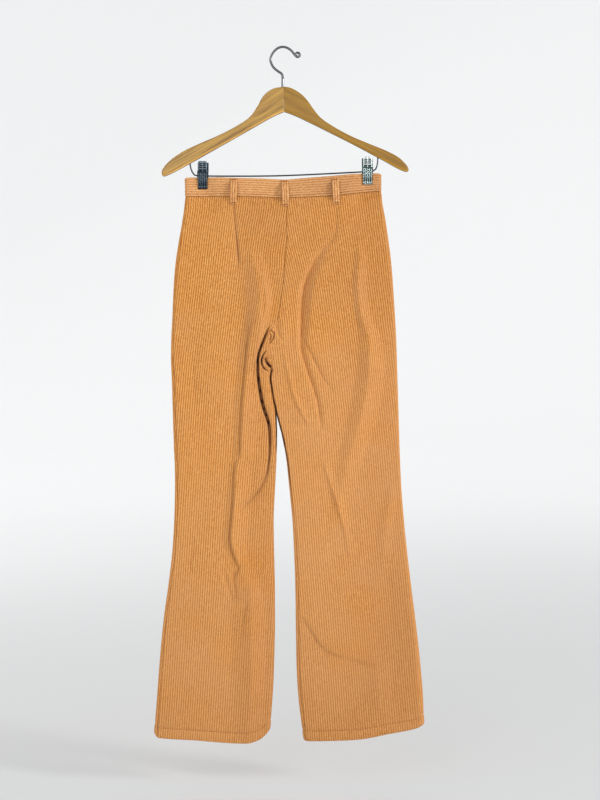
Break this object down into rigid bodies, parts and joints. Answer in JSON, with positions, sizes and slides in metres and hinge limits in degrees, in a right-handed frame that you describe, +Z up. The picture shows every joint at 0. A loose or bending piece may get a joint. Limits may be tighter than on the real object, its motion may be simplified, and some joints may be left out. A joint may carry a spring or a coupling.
{
  "type": "corduroy trousers on a clip hanger",
  "caption": "High-waisted flared wide-wale corduroy trousers hung by the waistband from a wooden clip hanger, legs hanging as flattened open tubes.",
  "frame": {"origin": "inside of the hook's crown, where the hanger rests on a rail or wall hook", "axes": "+Z up; +X to the right of a viewer who faces the back of the garment; +Y away from that viewer, towards the front of the garment"},
  "size_m": [0.4798, 0.0392, 1.2393],
  "materials": {
    "corduroy": "wide-wale cotton corduroy, tan orange, soft nap",
    "button": "four-hole sewn button, brown",
    "light_wood": "lacquered beech, light golden with slanting grain",
    "dark_wood": "lacquered beech, darker and plainer",
    "steel": "polished steel wire",
    "clip_steel": "pressed and polished steel"
  },
  "bodies": {
    "root": {"waistband_front_right": "corduroy", "waistband_back_right": "corduroy", "waistband_back_left": "corduroy", "waistband_front_left": "corduroy", "back_panel_left_seat": "corduroy", "back_panel_left_thigh": "corduroy", "back_panel_left_knee": "corduroy", "back_panel_left_calf": "corduroy", "front_panel_left_seat": "corduroy", "front_panel_left_thigh": "corduroy", "front_panel_left_knee": "corduroy", "front_panel_left_calf": "corduroy", "back_panel_right_seat": "corduroy", "back_panel_right_thigh": "corduroy", "back_panel_right_knee": "corduroy", "back_panel_right_calf": "corduroy", "front_panel_right_seat": "corduroy", "front_panel_right_thigh": "corduroy", "front_panel_right_knee": "corduroy", "front_panel_right_calf": "corduroy", "fly_placket": "corduroy", "belt_loop_back_left": "corduroy", "belt_loop_back_centre": "corduroy", "belt_loop_back_right": "corduroy", "belt_loop_front_left": "corduroy", "belt_loop_front_right": "corduroy", "waist_button": "button", "hanger_arm_left": "light_wood", "hanger_arm_right": "dark_wood", "hanger_hook": "steel", "trouser_bar": "steel", "clip_left_outer_jaw": "clip_steel", "clip_left_inner_jaw": "clip_steel", "clip_left_spring": "steel", "clip_right_outer_jaw": "clip_steel", "clip_right_inner_jaw": "clip_steel", "clip_right_spring": "steel"}
  },
  "joints": []
}
